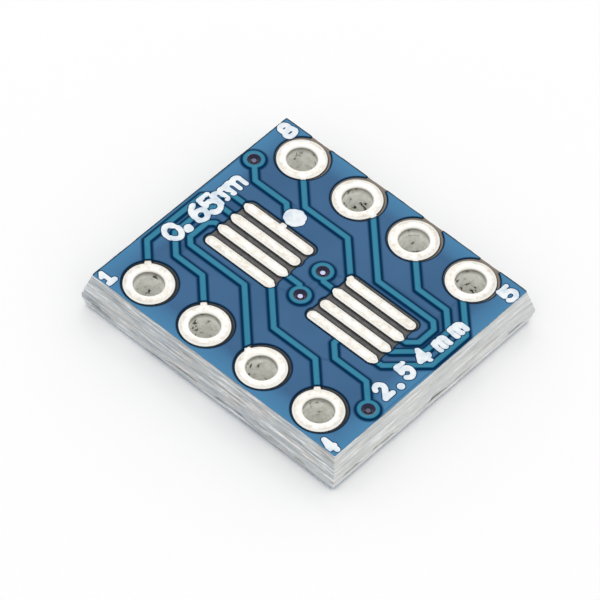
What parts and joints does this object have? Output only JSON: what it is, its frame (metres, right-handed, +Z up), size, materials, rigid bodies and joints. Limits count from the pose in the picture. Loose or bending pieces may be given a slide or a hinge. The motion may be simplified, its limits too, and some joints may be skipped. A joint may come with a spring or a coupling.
{
  "type": "ic adapter board",
  "caption": "Small rectangular adapter board that carries a surface-mount chip on fine pads and brings its leads out to two rows of plated pin holes.",
  "frame": {"origin": "middle of the hole pattern, on the plane that the board rests on", "axes": "+X from hole 1 to hole 4, +Y from the row of holes 1 to 4 to the row of holes 5 to 8, +Z up out of the face with the fine pads"},
  "size_m": [0.0114, 0.0102, 0.0017],
  "materials": {
    "glass_epoxy": "woven glass in epoxy, snapped along V-scored edges",
    "copper": "etched and plated copper, under the mask",
    "solder_mask": "semi-gloss blue solder mask, darker over bare laminate",
    "tin": "hot-air levelled tin, softly crowned",
    "legend": "printed white ink"
  },
  "bodies": {
    "root": {"hole_1_plating": "tin", "hole_2_plating": "tin", "hole_3_plating": "tin", "hole_4_plating": "tin", "hole_5_plating": "tin", "hole_6_plating": "tin", "hole_7_plating": "tin", "hole_8_plating": "tin", "laminate_core": "glass_epoxy", "net_1_tracks": "copper", "net_2_tracks": "copper", "net_3_tracks": "copper", "net_4_tracks": "copper", "net_5_tracks": "copper", "net_6_tracks": "copper", "net_7_tracks": "copper", "net_8_tracks": "copper", "top_solder_mask": "solder_mask", "bottom_solder_mask": "solder_mask", "fine_pad_1": "tin", "fine_pad_2": "tin", "fine_pad_3": "tin", "fine_pad_4": "tin", "fine_pad_5": "tin", "fine_pad_6": "tin", "fine_pad_7": "tin", "fine_pad_8": "tin", "wide_pad_1": "tin", "wide_pad_2": "tin", "wide_pad_3": "tin", "wide_pad_4": "tin", "wide_pad_5": "tin", "wide_pad_6": "tin", "wide_pad_7": "tin", "wide_pad_8": "tin", "pin_one_dot": "legend"}
  },
  "joints": []
}
